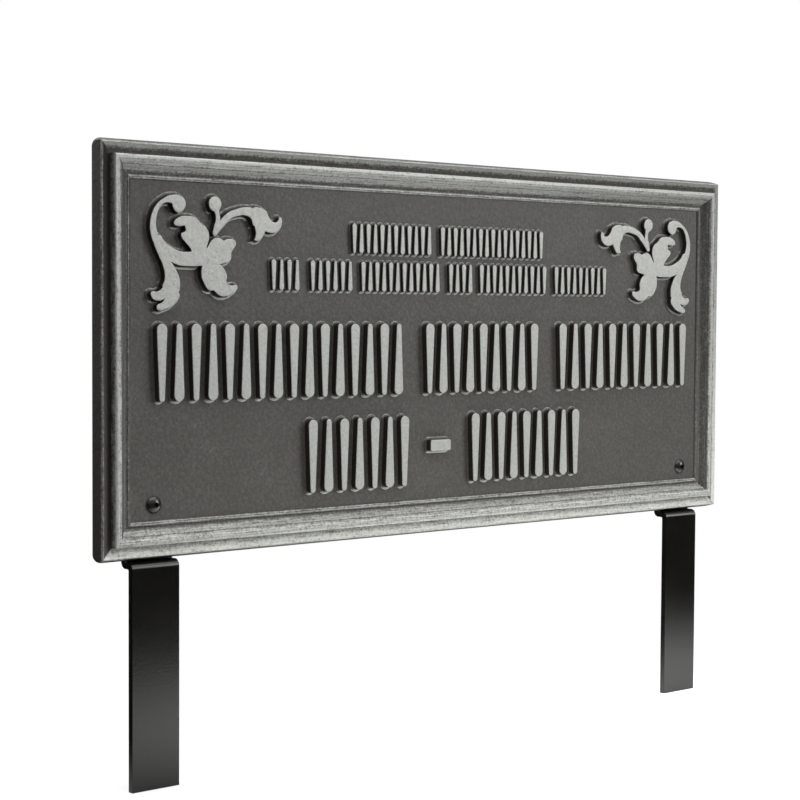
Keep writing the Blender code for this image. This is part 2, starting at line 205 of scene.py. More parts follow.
screw_boxes = {side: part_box("screw_" + side) for side in ("left", "right")}
screw_axes = {side: (low + high) / 2 for side, (low, high) in screw_boxes.items()}
for axis in screw_axes.values():
    bpy.ops.mesh.primitive_cylinder_add(
        vertices=SCREW_HOLE_SIDES, radius=SCREW_HOLE_RADIUS, depth=4 * FIELD_THICKNESS,
        location=(axis.x, axis.z - plate_low.z, 0),
    )
    cut(casting, added("screw_hole"))

stood_up(casting)
smoothed(casting)


class Shade:
    """A socket in a material. Sums, products and the like of shades add their own Math nodes."""

    def __init__(self, tree, socket=None):
        self.tree = tree
        self.socket = socket

    def node(self, kind, settings=None, sockets=None, output=0):
        """Adds a node: its settings, with a ramp's stops as "stops", come first, then its sockets."""
        made = self.tree.nodes.new(kind)
        for name, value in (settings or {}).items():
            if name == "stops":
                ramp = made.color_ramp
                while len(ramp.elements) < len(value):
                    ramp.elements.new(1)
                for stop, (position, level) in zip(ramp.elements, value):
                    stop.position = position
                    stop.color = (level, level, level, 1)
            else:
                setattr(made, name, value)
        for name, value in (sockets or {}).items():
            if isinstance(value, Shade):
                self.tree.links.new(value.socket, made.inputs[name])
            else:
                made.inputs[name].default_value = value
        return Shade(self.tree, made.outputs[output])

    def math(self, operation, first, second=0.0):
        return self.node("ShaderNodeMath", {"operation": operation}, {0: first, 1: second})

    def __add__(self, other):
        return self.math("ADD", self, other)

    def __sub__(self, other):
        return self.math("SUBTRACT", self, other)

    def __rsub__(self, other):
        return self.math("SUBTRACT", other, self)

    def __mul__(self, other):
        return self.math("MULTIPLY", self, other)

    def __truediv__(self, other):
        return self.math("DIVIDE", self, other)

    def __abs__(self):
        return self.math("ABSOLUTE", self)

    __radd__ = __add__
    __rmul__ = __mul__

    def ramp(self, low, high):
        """A soft step from 0 at low to 1 at high."""
        return self.node(
            "ShaderNodeMapRange",
            {"interpolation_type": "SMOOTHSTEP"},
            {"Value": self, "From Min": low, "From Max": high},
        )

    def noise(self, scale, detail=2.0, roughness=0.5):
        """A noise between 0 and 1 over this vector."""
        return self.node(
            "ShaderNodeTexNoise",
            None,
            {"Vector": self, "Scale": scale, "Detail": detail, "Roughness": roughness},
        )

    def axes(self):
        """The x, y and z of this vector."""
        parted = self.node("ShaderNodeSeparateXYZ", None, {0: self})
        return [Shade(self.tree, output) for output in parted.socket.node.outputs]

    def vector(self, x, y, z):
        """A vector made of three shades or numbers."""
        return self.node("ShaderNodeCombineXYZ", None, {"X": x, "Y": y, "Z": z})

    def bump(self):
        """The normal of a surface raised by this height in metres."""
        return self.node("ShaderNodeBump", None, {"Strength": 1.0, "Distance": 1.0, "Height": self})

    def blend(self, low, high):
        """The colour low where this mask is 0 and high where it is 1."""
        return self.node(
            "ShaderNodeMix", {"data_type": "RGBA"}, {"Factor": self, 6: low, 7: high}, output=2
        )


def new_material(name):
    """A material, its Principled shader and the place on the surface as Object coordinates."""
    material = bpy.data.materials.new(name)
    material.use_nodes = True
    tree = material.node_tree
    shader = tree.nodes["Principled BSDF"]
    place = Shade(tree).node("ShaderNodeTexCoord", output="Object")
    return material, shader, place


def feed(shader, name, value):
    """Links a shade to a socket of the shader, or sets it to a value."""
    if isinstance(value, Shade):
        value.tree.links.new(value.socket, shader.inputs[name])
    else:
        shader.inputs[name].default_value = value


def coated(obj, material):
    """Gives a piece its one material."""
    obj.data.materials.clear()
    obj.data.materials.append(material)


FIELD_PAINT = (0.0625, 0.0585, 0.0515, 1)
DEEP_PAINT_AND_SHADE = (0.021, 0.0158, 0.0112, 1)
SILVER_PAINT = (0.50, 0.515, 0.485, 1)
DULL_SILVER = (0.37, 0.365, 0.335, 1)
# Noises per metre, from the coarsest to the finest, and how far two of them stand up
CLOUDS = 55
UNDULATION = 420
MOTTLE = 620
SPECKLE = 1000
GRAIN = 1300
UNDULATION_RISE = 0.16 * MM
GRAIN_RISE = 0.08 * MM
# Scratches and rubbed streaks per metre, along and across their run
SCRATCHES = (60, 1100)
STREAKS = (60, 1900)
STREAK_SHIFT = 9
# The level at which each mark of the paint starts, and the level at which it is full
RUBBED_AND_HIGHLIGHT = (0.12, 0.90)
SCRATCHED = (0.14, 0.26)
FLECKED = (0.56, 0.72)
POOLED_AND_SHADED = (0.05, 0.85)
BRIGHT = (0.3, 0.62)
FRAME_REACH = 18.0 * MM
BACK_FADE = (0.4 * MM, 1.0 * MM)
LIT_RIGHT_EDGE_FADE = (4.5 * MM, 6.0 * MM)
# The paint over the moulding, by inset in mm: the silver rubbed on the top, bottom and upright
# members, then the deep brown left in their hollows and outer walls. Both are partly painted light:
# the top and bottom members carry more silver than the uprights, as light from above and below,
# and the deep brown on the outer walls and in the coves of the top member and the uprights is
# partly pooled paint, partly painted shade
FRAME_PAINT_AND_SHADING = (
    (0.0, 0.10, 0.00, 0.00, 0.5, 0.8, 0.95), (1.2, 0.40, 0.30, 0.05, 0.4, 0.4, 0.95),
    (1.6, 0.62, 0.70, 0.46, 0.2, 0.0, 0.3), (2.1, 0.92, 0.80, 0.34, 0.0, 0.0, 0.5),
    (2.7, 1.10, 0.84, 0.12, 0.0, 0.0, 0.9), (3.4, 0.74, 0.82, 0.08, 0.1, 0.0, 1.0),
    (4.2, 0.34, 0.76, 0.06, 0.5, 0.0, 1.0), (5.1, 0.22, 0.64, 0.05, 0.8, 0.1, 1.0),
    (5.8, 0.14, 0.56, 0.05, 0.9, 0.2, 1.0), (6.6, 0.16, 0.60, 0.06, 0.9, 0.1, 1.0),
    (6.95, 0.56, 0.78, 0.56, 0.3, 0.0, 0.4), (7.4, 0.94, 0.78, 0.90, 0.0, 0.0, 0.0),
    (8.8, 0.88, 0.76, 0.90, 0.0, 0.0, 0.0), (9.15, 0.58, 0.60, 0.84, 0.2, 0.0, 0.0),
    (9.5, 0.84, 0.70, 0.72, 0.0, 0.0, 0.1), (10.4, 0.80, 0.56, 0.36, 0.0, 0.0, 0.2),
    (11.1, 0.74, 0.50, 0.20, 0.0, 0.0, 0.0), (11.4, 0.46, 0.30, 0.18, 0.2, 0.3, 0.1),
    (11.9, 0.80, 0.68, 0.20, 0.0, 0.0, 0.0), (13.2, 0.70, 0.60, 0.18, 0.0, 0.0, 0.0),
    (14.2, 0.36, 0.28, 0.16, 0.2, 0.2, 0.0), (15.4, 0.18, 0.14, 0.16, 0.5, 0.6, 0.0),
    (15.9, 0.60, 0.56, 0.44, 0.1, 0.1, 0.0), (16.5, 0.80, 0.74, 0.26, 0.0, 0.0, 0.0),
    (16.85, 0.30, 0.24, 0.12, 0.5, 0.5, 0.0), (17.2, 0.74, 0.66, 0.22, 0.0, 0.0, 0.0),
    (17.5, 0.50, 0.42, 0.14, 0.0, 0.0, 0.0), (17.9, 0.03, 0.03, 0.03, 0.0, 0.0, 0.0),
)


def painted(name, coverage):
    """Cast metal in grey paint: coverage gives the silver with painted highlights, its streaks and the deep
    brown with painted shade.
    """
    material, shader, place = new_material(name)
    silver_and_highlight, streaks, hollow_and_shade = coverage(place)
    grain = place.noise(GRAIN, 3.0, 0.6)
    speckle = place.noise(SPECKLE, 3.0, 0.65)
    mottle = place.noise(MOTTLE, 3.0, 0.65)
    clouds = place.noise(CLOUDS, 3.0)
    wear = speckle - 0.5 + (mottle - 0.5) * 0.8 + (streaks - 0.5) * 1.5
    # The rubbed silver also holds painted highlights: the glint on the relief feet and the extra silver on
    # the top and bottom members
    rubbed_and_highlight = (silver_and_highlight + wear * (silver_and_highlight + 0.3)).ramp(*RUBBED_AND_HIGHLIGHT)
    x, _, z = place.axes()
    along, across = SCRATCHES
    drawn = place.vector((x + z) * along, 0.0, (x - z) * across).noise(1.0, 3.0, 0.6)
    scratched = (drawn - 0.5 + (clouds - 0.5) * 0.5).ramp(*SCRATCHED)
    fleck = speckle.ramp(*FLECKED)
    haze = 0.02 + (mottle - 0.5) * 0.26 + fleck * 0.05 + scratched * 0.12 + (clouds - 0.5) * 0.05
    ground = haze.node("ShaderNodeClamp", None, {"Value": haze}).blend(FIELD_PAINT, SILVER_PAINT)
    # Deep brown on walls and in hollows, darker than the field: partly pooled paint, partly painted shade
    pooled_and_shaded = (hollow_and_shade - fleck * 0.22 + (clouds - 0.5) * 0.3).ramp(*POOLED_AND_SHADED)
    ground = pooled_and_shaded.blend(ground, DEEP_PAINT_AND_SHADE)
    bright = (speckle * 0.4 + mottle * 0.3 + streaks * 0.3).ramp(*BRIGHT)
    silver_tone = bright.blend(DULL_SILVER, SILVER_PAINT)
    feed(shader, "Base Color", rubbed_and_highlight.blend(ground, silver_tone))
    feed(shader, "Metallic", rubbed_and_highlight * 0.25 + 0.05)
    feed(shader, "Roughness", 0.50 - rubbed_and_highlight * 0.06 + (grain - 0.5) * 0.2)
    relief = grain * GRAIN_RISE + place.noise(UNDULATION) * UNDULATION_RISE
    feed(shader, "Normal", relief.bump())
    return material


def frame_coverage(place):
    """The paint follows the moulding round, with streaks along each member up to the mitres."""
    x, y, z = place.axes()
    from_side = plate_width / 2 - abs(x)
    from_end = plate_height / 2 - abs(z - plate_middle)
    inset = from_side.math("MINIMUM", from_side, from_end)
    upright = from_side.math("LESS_THAN", from_side, from_end)
    upper = z.math("GREATER_THAN", z, plate_middle)
    along = x * (1 - upright) + z * upright
    front = (plate_high.y - y).ramp(*BACK_FADE)
    # Painted highlight: the right upright's outer band takes the top member's lighter paint, as light falling
    # from the right
    lit_right_edge = x.math("GREATER_THAN", x, 0.0) * (1 - inset.ramp(*LIT_RIGHT_EDGE_FADE))

    def over_moulding(first_column):
        """Three columns of the table laid over the top, bottom and upright members."""
        top, bottom, side = [
            place.node(
                "ShaderNodeValToRGB",
                {"stops": [(row[0] * MM / FRAME_REACH, row[column]) for row in FRAME_PAINT_AND_SHADING]},
                {0: inset / FRAME_REACH},
            )
            for column in range(first_column, first_column + 3)
        ]
        side = side + (top - side) * lit_right_edge
        return ((top * upper + bottom * (1 - upper)) * (1 - upright) + side * upright) * front

    run = place.vector(along * STREAKS[0], inset * STREAKS[1], upright * STREAK_SHIFT)
    streaks = run.noise(1.0, 4.0, 0.7)
    return over_moulding(1), streaks, over_moulding(4)


coated(casting, painted("frame_and_field_paint", frame_coverage))
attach(casting, "root")
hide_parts("plaque")

# Corner ornaments
# A scroll with a flower, a bud on a stem and an arching leaf in each upper corner, cast with the
# plate and mirrored from left to right. Their flat faces are silver. Their steep walls and the top of
# their low soft foot are deep brown, painted shade, and the foot's outer edge, where it meets the
# field, carries a painted highlight with a little silver, brightest where it faces down.

ORNAMENT_HEIGHT = 53.0 * MM
ORNAMENT_LEFT = 26.2 * MM
ORNAMENT_TOP = 24.0 * MM
ORNAMENT_RELIEF = 3.0 * MM
SINK = 1.0 * MM
FOOT_WIDTH = 1.6 * MM
FOOT_HEIGHT = 0.50 * MM
EDGE_ROUNDING = 0.22 * MM
OUTLINE_STEPS = 8
ROUNDING_RINGS = 2
MERGED = 0.001 * MM
# Silver starts and is full at these depths below a flat face, and on the outer edge of a foot a
# painted highlight with a little silver starts and is full at these heights above the field
FACE_SILVER = (0.45 * MM, 0.05 * MM)
EDGE_SILVER_AND_HIGHLIGHT = (0.98 * FOOT_HEIGHT, 0.84 * FOOT_HEIGHT)
# Brush marks per metre, across and along
BRUSH_MARKS = (900, 90)

# The carving in hundredths of the ornament's height: spines as x, y and half width, petals as x, y
SPINES = {
    "scroll": (
        (30, 93, 5), (22, 96, 3.5), (14, 94, 1.9), (8, 89, 2), (4.6, 82, 2.6), (3.2, 74, 3), (4.4, 66, 3.5),
        (8, 58, 4), (12.5, 49, 4), (17, 41, 4.4), (21, 33, 6.2), (22.6, 25, 8), (20.5, 18, 8),
    ),
    "upper_toe": ((22, 20, 7), (13.5, 14.5, 4.4), (7, 12.6, 3.8), (1.5, 15, 1.4)),
    "lower_toe": ((26, 17, 5), (21.5, 10.5, 5.6), (14.5, 4.6, 3.4), (7.5, 2.4, 1.6)),
    "branch": (
        (7, 63, 3), (12, 56, 4.4), (20, 49.6, 5.6), (30, 45.6, 6), (40, 45, 6.2), (52, 46, 6.6), (60, 48, 7),
    ),
    "stem": ((68, 90, 2.4), (69.6, 85, 2.2), (70.2, 79, 2.4), (68, 72, 2.4), (66, 66, 0.7)),
    "arm": (
        (66.4, 66, 0.6), (70, 72, 2.6), (75.5, 78, 3), (82.5, 84, 2.9), (91, 87, 3.1), (100, 88.4, 3.6),
        (108, 86.4, 5), (114, 81, 7),
    ),
}
PETALS = {
    "bulb": (((24, 88), (23.5, 97), (31, 99), (36, 95), (35.5, 89), (29, 84)), (5,)),
    "upper_petal": (
        (
            (24.5, 75), (30, 80.8), (38, 82), (46.5, 81), (52.5, 76), (58, 72.4), (60.8, 66), (58.5, 56),
            (54, 46), (44, 48), (41.5, 54), (37, 58.6), (31.8, 66), (36.3, 69.4), (35.6, 73.8), (29, 73),
        ),
        (14,),
    ),
    "right_petal": (
        (
            (57, 50), (60, 56.5), (66.5, 63.6), (71, 64), (76.6, 62), (83, 63.6), (89.2, 61), (84.6, 51.6),
            (83.6, 45), (76, 41.8), (64, 41),
        ),
        (4,),
    ),
    "lower_petal": (
        (
            (56, 42), (52.8, 32), (55.4, 24.6), (61, 18.4), (66, 18.2), (71.6, 14), (78, 13), (86, 15.6),
            (91.2, 20.8), (90.4, 22.8), (84.6, 22.6), (79.6, 25), (79.8, 31), (76, 38), (68, 42),
        ),
        (4,),
    ),
    "bud": (
        (
            (60.6, 93.6), (62.5, 98.2), (67.2, 100), (71.8, 98.2), (73.7, 93.6), (71.8, 89), (67.2, 87.1),
            (62.5, 89),
        ),
        (),
    ),
    "leaf": (
        (
            (108, 91), (116, 92), (122.6, 89.4), (126, 83), (130.6, 79.8), (134.6, 80.4), (137.3, 84.4),
            (138.7, 84.0), (139.8, 79.6), (137, 73.6), (130, 70.2), (121.4, 71.4), (118.6, 66.6),
            (114.4, 62.6), (109.2, 63.4), (111, 68), (109.6, 76),
        ),
        (2, 11, 14),
    ),
}


def swelling(spine):
    """The outline of a stroke that swells and thins along its spine."""
    left = []
    right = []
    for index, (x, y, half) in enumerate(spine):
        before = Vector(spine[max(index - 1, 0)][:2])
        after = Vector(spine[min(index + 1, len(spine) - 1)][:2])
        along = (after - before).normalized()
        side = Vector((-along.y, along.x)) * half
        left.append(Vector((x, y)) + side)
        right.append(Vector((x, y)) - side)
    return left + right[::-1]


def outline_block(name, outline, sharp, inwards, rounding, low, high, flatness=1):
    """A flat curve through the outline, drawn in, then thickened with rounded edges, made a mesh."""
    curve = bpy.data.curves.new(name, "CURVE")
    curve.dimensions = "2D"
    curve.fill_mode = "BOTH"
    curve.resolution_u = OUTLINE_STEPS
    curve.extrude = (high - low) / 2 / flatness - rounding
    curve.bevel_depth = rounding
    curve.bevel_resolution = ROUNDING_RINGS
    curve.offset = -inwards
    spline = curve.splines.new("BEZIER")
    spline.bezier_points.add(len(outline) - 1)
    spline.use_cyclic_u = True
    for index, (knot, place) in enumerate(zip(spline.bezier_points, outline)):
        knot.co = (place[0] * ORNAMENT_HEIGHT / 100, place[1] * ORNAMENT_HEIGHT / 100, 0)
        kind = "VECTOR" if index in sharp else "AUTO"
        knot.handle_left_type = kind
        knot.handle_right_type = kind
    obj = bpy.data.objects.new(name, curve)
    bpy.context.scene.collection.objects.link(obj)
    only(obj)
    bpy.ops.object.convert(target="MESH")
    bpy.ops.object.mode_set(mode="EDIT")
    bpy.ops.mesh.select_all(action="SELECT")
    bpy.ops.mesh.remove_doubles(threshold=MERGED)
    bpy.ops.mesh.normals_make_consistent(inside=False)
    bpy.ops.object.mode_set(mode="OBJECT")
    obj.location.z = (high + low) / 2
    obj.scale.z = flatness
    bpy.ops.object.transform_apply(location=True, rotation=True, scale=True)
    return obj


def joined(name, objects):
    """Puts separate meshes into the first one, as loose parts of it."""
    only(objects[0])
    for obj in objects[1:]:
        obj.select_set(True)
    bpy.ops.object.join()
    objects[0].name = name
    return objects[0]


def relief_coverage(top):
    """Silver on a form's flat top, painted highlight on its foot's outer edge, mostly below it, painted shade
    between.
    """

    def coverage(place):
        x, y, z = place.axes()
        height = field_y - y
        face = height.ramp(top - FACE_SILVER[0], top - FACE_SILVER[1])
        # Painted highlight on the foot's outer edge: strongest facing down, weaker facing up, least facing
        # left, as the light falls
        rightward, _, upward = place.node("ShaderNodeTexCoord", output="Normal").axes()
        leftward = rightward.math("MAXIMUM", 0 - rightward, 0.0)
        above = upward.ramp(0.05, 0.5)
        below = (0 - upward - leftward * 0.8).ramp(0.02, 0.24)
        edge = 1 - height.ramp(EDGE_SILVER_AND_HIGHLIGHT[1], EDGE_SILVER_AND_HIGHLIGHT[0])
        brushed = place.vector(x * BRUSH_MARKS[0], 0.0, z * BRUSH_MARKS[1]).noise(1.0, 3.0, 0.6)
        share = face.math("MAXIMUM", face * 1.1, edge * (0.08 + above * 0.38 + below * 1.10))
        # The walls and the foot's top between face and edge get deep brown: painted shade
        return share, brushed * 0.4 + 0.3, (1 - edge) * (1 - face)

    return coverage


outlines = [(form, swelling(spine), ()) for form, spine in SPINES.items()]
outlines += [(form, outline, sharp) for form, (outline, sharp) in PETALS.items()]
faces = [
    outline_block(form, outline, sharp, EDGE_ROUNDING, EDGE_ROUNDING, -SINK, ORNAMENT_RELIEF)
    for form, outline, sharp in outlines
]
for block in faces[1:]:
    cut(faces[0], block, "UNION")
feet = [
    outline_block(form, outline, sharp, 0, FOOT_WIDTH, -FOOT_HEIGHT, FOOT_HEIGHT, FOOT_HEIGHT / FOOT_WIDTH)
    for form, outline, sharp in outlines
]
left_ornament = joined("corner_ornament_left", [faces[0]] + feet)
ornament_corner = Vector((
    ORNAMENT_LEFT - plate_width / 2, plate_height - ORNAMENT_TOP - ORNAMENT_HEIGHT, FIELD_THICKNESS
))
stood_up(left_ornament, standing @ Matrix.Translation(ornament_corner))
coated(left_ornament, painted("ornament_paint", relief_coverage(ORNAMENT_RELIEF)))

only(left_ornament)
bpy.ops.object.duplicate(linked=False)
right_ornament = added("corner_ornament_right")
right_ornament.scale.x = -1
bpy.ops.object.transform_apply(location=True, rotation=True, scale=True)
bpy.ops.object.mode_set(mode="EDIT")
bpy.ops.mesh.select_all(action="SELECT")
bpy.ops.mesh.normals_make_consistent(inside=False)
bpy.ops.object.mode_set(mode="OBJECT")

for ornament in (left_ornament, right_ornament):
    smoothed(ornament)
    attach(ornament, "root")

# Rows of raised strokes
# Two small rows over two large ones, cast with the plate where an inscription stands. Each stroke
# is a tapered bar with round ends, a flat silver face, walls that lean in, painted dark as painted
# shade, and a soft foot whose outer edge carries a painted highlight.
# The wide ends stand up and down in turn, and a dash parts the groups of the lowest row.

SMALL_STROKE = {"length": 14.0 * MM, "width": 2.2 * MM, "pitch": 4.2 * MM, "relief": 2.2 * MM}
LARGE_STROKE = {"length": 35.0 * MM, "width": 5.0 * MM, "pitch": 9.2 * MM, "relief": 3.6 * MM}
STROKE_TAPER = 0.5
DASH_LENGTH = 13.0 * MM
DASH_RISE = 19.6 * MM
DASH_CORNER = 0.6 * MM
DASH_CORNER_STEPS = 5
FIELD_INSET = 17.6 * MM
LOWER_LARGE_ROW = FIELD_INSET + 8.2 * MM
UPPER_LARGE_ROW = LOWER_LARGE_ROW + 46.6 * MM
LOWER_SMALL_ROW = UPPER_LARGE_ROW + 51.6 * MM
UPPER_SMALL_ROW = LOWER_SMALL_ROW + 18.7 * MM
# Each row's base, its kind and its groups as shares of the field's width from its middle
STROKE_ROWS = (
    ("upper_small_row", UPPER_SMALL_ROW, SMALL_STROKE, ((-0.170, -0.037), (-0.019, 0.170))),
    (
        "lower_small_row", LOWER_SMALL_ROW, SMALL_STROKE,
        (
            (-0.298, -0.256), (-0.237, -0.171), (-0.155, -0.022), (-0.004, 0.037), (0.052, 0.177),
            (0.195, 0.298),
        ),
    ),
    ("upper_large_row", UPPER_LARGE_ROW, LARGE_STROKE, ((-0.468, -0.088), (-0.047, 0.159), (0.202, 0.468))),
    ("lower_large_row", LOWER_LARGE_ROW, LARGE_STROKE, ((-0.242, -0.077), (0.036, 0.242))),
)
ROUND_END_STEPS = 16
# A stroke's side as steps inwards and upwards in mm, from the field up to the flat face
FOOT_STEPS = ((0.10, 0.13), (0.14, 0.13), (0.18, 0.10), (0.22, 0.04), (0.40, 0.01), (0.10, 0.08))
SHOULDER_STEPS = ((0.03, 0.10), (0.06, 0.08), (0.09, 0.05), (0.11, 0.01))
WALL_LEAN = 0.09


def side_steps(relief):
    """All steps of a form's side: soft foot, steep wall and rounded shoulder."""
    wall = relief / MM - sum(rise for _, rise in FOOT_STEPS + SHOULDER_STEPS)
    return FOOT_STEPS + ((wall * WALL_LEAN, wall),) + SHOULDER_STEPS


def raised(relief):
    """Draws the selected flat face up to its relief."""
    for inwards, upwards in side_steps(relief):
        bpy.ops.mesh.inset(thickness=inwards * MM, depth=upwards * MM, use_even_offset=True)


def foot_spread(relief):
    """How far a raised form's outline at the field stands outside its flat face."""
    return sum(inwards for inwards, _ in side_steps(relief)) * MM


def stroke(length, width, relief):
    """A stroke whose face is as long and wide as given, standing at the origin, wide end up."""
    spread = foot_spread(relief)
    wide = width / 2 + spread
    narrow = width / 2 * STROKE_TAPER + spread
    bpy.ops.mesh.primitive_circle_add(
        vertices=2 * ROUND_END_STEPS, radius=1, fill_type="NGON", location=(0, 0, -SINK)
    )
    obj = added("stroke")
    bpy.ops.object.transform_apply(location=True, rotation=True, scale=True)
    bpy.ops.object.mode_set(mode="EDIT")
    for is_upper, radius, centre in ((True, wide, length + spread - wide), (False, narrow, narrow - spread)):
        select(obj, "vertices", lambda vertex: (vertex.co.y > -MERGED) == is_upper)
        bpy.ops.transform.resize(value=(radius, radius, 1), center_override=(0, 0, -SINK))
        bpy.ops.transform.translate(value=(0, centre, 0))
    bpy.ops.mesh.select_all(action="SELECT")
    bpy.ops.mesh.extrude_region_move(TRANSFORM_OT_translate={"value": (0, 0, SINK)})
    raised(relief)
    bpy.ops.object.mode_set(mode="OBJECT")
    return obj


def dash():
    """A short level bar as wide and as high above the field as the large strokes."""
    spread = foot_spread(LARGE_STROKE["relief"])
    bpy.ops.mesh.primitive_plane_add(size=1, location=(0, 0, -SINK))
    obj = added("dash")
    obj.scale = (DASH_LENGTH + 2 * spread, LARGE_STROKE["width"] + 2 * spread, 1)
    bpy.ops.object.transform_apply(location=True, rotation=True, scale=True)
    bpy.ops.object.mode_set(mode="EDIT")
    bpy.ops.mesh.select_all(action="SELECT")
    bpy.ops.mesh.bevel(offset=spread + DASH_CORNER, segments=DASH_CORNER_STEPS, affect="VERTICES")
    bpy.ops.mesh.select_all(action="SELECT")
    bpy.ops.mesh.extrude_region_move(TRANSFORM_OT_translate={"value": (0, 0, SINK)})
    raised(LARGE_STROKE["relief"])
    bpy.ops.object.mode_set(mode="OBJECT")
    return obj


field_width = plate_width - 2 * FIELD_INSET
for row_name, base, kind, groups in STROKE_ROWS:
    pattern = stroke(kind["length"], kind["width"], kind["relief"])
    forms = []
    for start, end in groups:
        start_x = start * field_width
        room = end * field_width - start_x
        count = max(1, round(room / kind["pitch"]))
        spacing = (room - kind["width"]) / max(count - 1, 1)
        for index in range(count):
            form = pattern.copy()
            form.data = pattern.data.copy()
            bpy.context.scene.collection.objects.link(form)
            form.location = (start_x + kind["width"] / 2 + spacing * index, base, 0)
            if index % 2 == 1:
                form.rotation_euler.z = math.pi
                form.location.y = base + kind["length"]
            forms.append(form)
    bpy.data.objects.remove(pattern)
    if row_name == "lower_large_row":
        mark = dash()
        mark.location = ((groups[0][1] + groups[1][0]) / 2 * field_width, base + DASH_RISE, 0)
        forms.append(mark)
    for form in forms:
        only(form)
        bpy.ops.object.transform_apply(location=True, rotation=True, scale=True)
    row = joined(row_name, forms)
    stood_up(row, standing @ Matrix.Translation((0, 0, FIELD_THICKNESS)))
    smoothed(row)
    coated(row, painted(row_name + "_paint", relief_coverage(kind["relief"])))
    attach(row, "root")

# Stakes
# Two flat steel bars in satin black powder coat. Each comes up from the ground, turns back under
# the plate's lower edge and turns up again into a tab behind it, where the screw holds it.

BAR_THICKNESS = 3.3 * MM
INNER_BEND = 0.8 * MM
BAR_ROUNDING = 0.45 * MM
BAR_ROUNDING_STEPS = 3
BAR_EDGE_ANGLE = math.radians(60)
BEND_STEPS = 10
SHELF_GAP = 0.6 * MM
COAT_BLACK = (0.0030, 0.0027, 0.0023, 1)
DUSTY_BLACK = (0.0055, 0.005, 0.0043, 1)
ORANGE_PEEL = 900
ORANGE_PEEL_RISE = 0.02 * MM
DUST = 35


def powder_coat():
    """Satin black powder coat: almost even, with a fine orange peel."""
    material, shader, place = new_material("black_powder_coat")
    dust = place.noise(DUST, 4.0, 0.6)
    feed(shader, "Base Color", dust.ramp(0.35, 0.75).blend(COAT_BLACK, DUSTY_BLACK))
    feed(shader, "Roughness", 0.15 + dust * 0.08)
    feed(shader, "IOR", 1.52)
    feed(shader, "Normal", (place.noise(ORANGE_PEEL) * ORANGE_PEEL_RISE).bump())
    return material


def stake(side, paint):
    """A straight bar, drawn back into a shelf and up into a tab, with its two bends rounded."""
    node = "stake_" + side
    low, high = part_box(node)
    hole = screw_axes[side]
    tab_front = high.y - BAR_THICKNESS
    shelf_top = plate_low.z - SHELF_GAP
    shelf_under = shelf_top - BAR_THICKNESS
    bar_back = low.y + BAR_THICKNESS
    bpy.ops.mesh.primitive_cube_add(
        size=1, location=((low.x + high.x) / 2, (low.y + bar_back) / 2, shelf_top / 2)
    )
    obj = added("bar_" + side)
    obj.scale = (high.x - low.x, BAR_THICKNESS, shelf_top)
    bpy.ops.object.transform_apply(location=True, rotation=True, scale=True)
    bpy.ops.object.mode_set(mode="EDIT")
    bpy.ops.mesh.select_all(action="SELECT")
    bpy.ops.mesh.bisect(plane_co=(0, 0, shelf_under), plane_no=(0, 0, 1))
    select(obj, "polygons", lambda face: face.normal.y > 0.5 and face.center.z > shelf_under)
    bpy.ops.mesh.extrude_region_move(TRANSFORM_OT_translate={"value": (0, tab_front - bar_back, 0)})
    bpy.ops.mesh.extrude_region_move(TRANSFORM_OT_translate={"value": (0, BAR_THICKNESS, 0)})
    select(obj, "polygons", lambda face: face.normal.z > 0.5 and face.center.y > tab_front)
    bpy.ops.mesh.extrude_region_move(TRANSFORM_OT_translate={"value": (0, 0, high.z - shelf_top)})
    for y, z, radius in (
        (low.y, shelf_top, INNER_BEND + BAR_THICKNESS),
        (bar_back, shelf_under, INNER_BEND),
        (tab_front, shelf_top, INNER_BEND),
        (high.y, shelf_under, INNER_BEND + BAR_THICKNESS),
    ):
        select(
            obj,
            "edges",
            lambda edge: all(
                abs(end.y - y) < NEAR and abs(end.z - z) < NEAR for end in edge_ends(obj, edge)
            ),
        )
        bpy.ops.mesh.bevel(offset=radius, segments=BEND_STEPS, affect="EDGES")
    bpy.ops.object.mode_set(mode="OBJECT")
    bpy.ops.mesh.primitive_cylinder_add(
        vertices=SCREW_HOLE_SIDES, radius=SCREW_HOLE_RADIUS, depth=4 * BAR_THICKNESS,
        rotation=(math.pi / 2, 0, 0), location=(hole.x, high.y, hole.z),
    )
    cut(obj, added("tab_hole"))
    apply_modifier(
        obj, "BEVEL", width=BAR_ROUNDING, segments=BAR_ROUNDING_STEPS, limit_method="ANGLE",
        angle_limit=BAR_EDGE_ANGLE,
    )
    smoothed(obj)
    coated(obj, paint)
    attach(obj, "root")
    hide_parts(node)


stake_paint = powder_coat()
stake("left", stake_paint)
stake("right", stake_paint)

# Screws
# Two small button-head screws in black oxide, each with a hexagon socket. They go through the
# plate and the tab, and their chamfered ends show behind.

HEAD_HEIGHT = 2.2 * MM
HEAD_RIM = 0.5 * MM
RIM_ROUNDING = 0.12 * MM
DOME_DROP = 0.02 * MM
SHANK_RADIUS = 2.1 * MM
SOCKET_ACROSS = 2.4 * MM
SOCKET_DEPTH = 1.3 * MM
DOME_STEPS = 12
TURN_STEPS = 64
OXIDE_BLACK = (0.014, 0.013, 0.012, 1)
RUBBED_OXIDE = (0.036, 0.031, 0.027, 1)
TURNING_MARKS = 1800


def black_oxide():
    """Oiled black oxide on turned steel."""
    material, shader, place = new_material("black_oxide")
    turned = place.noise(TURNING_MARKS, 3.0, 0.6)
    feed(shader, "Base Color", turned.ramp(0.3, 0.8).blend(OXIDE_BLACK, RUBBED_OXIDE))
    feed(shader, "Metallic", 0.2)
    feed(shader, "Roughness", 0.08 + turned * 0.12)
    feed(shader, "IOR", 1.6)
    return material


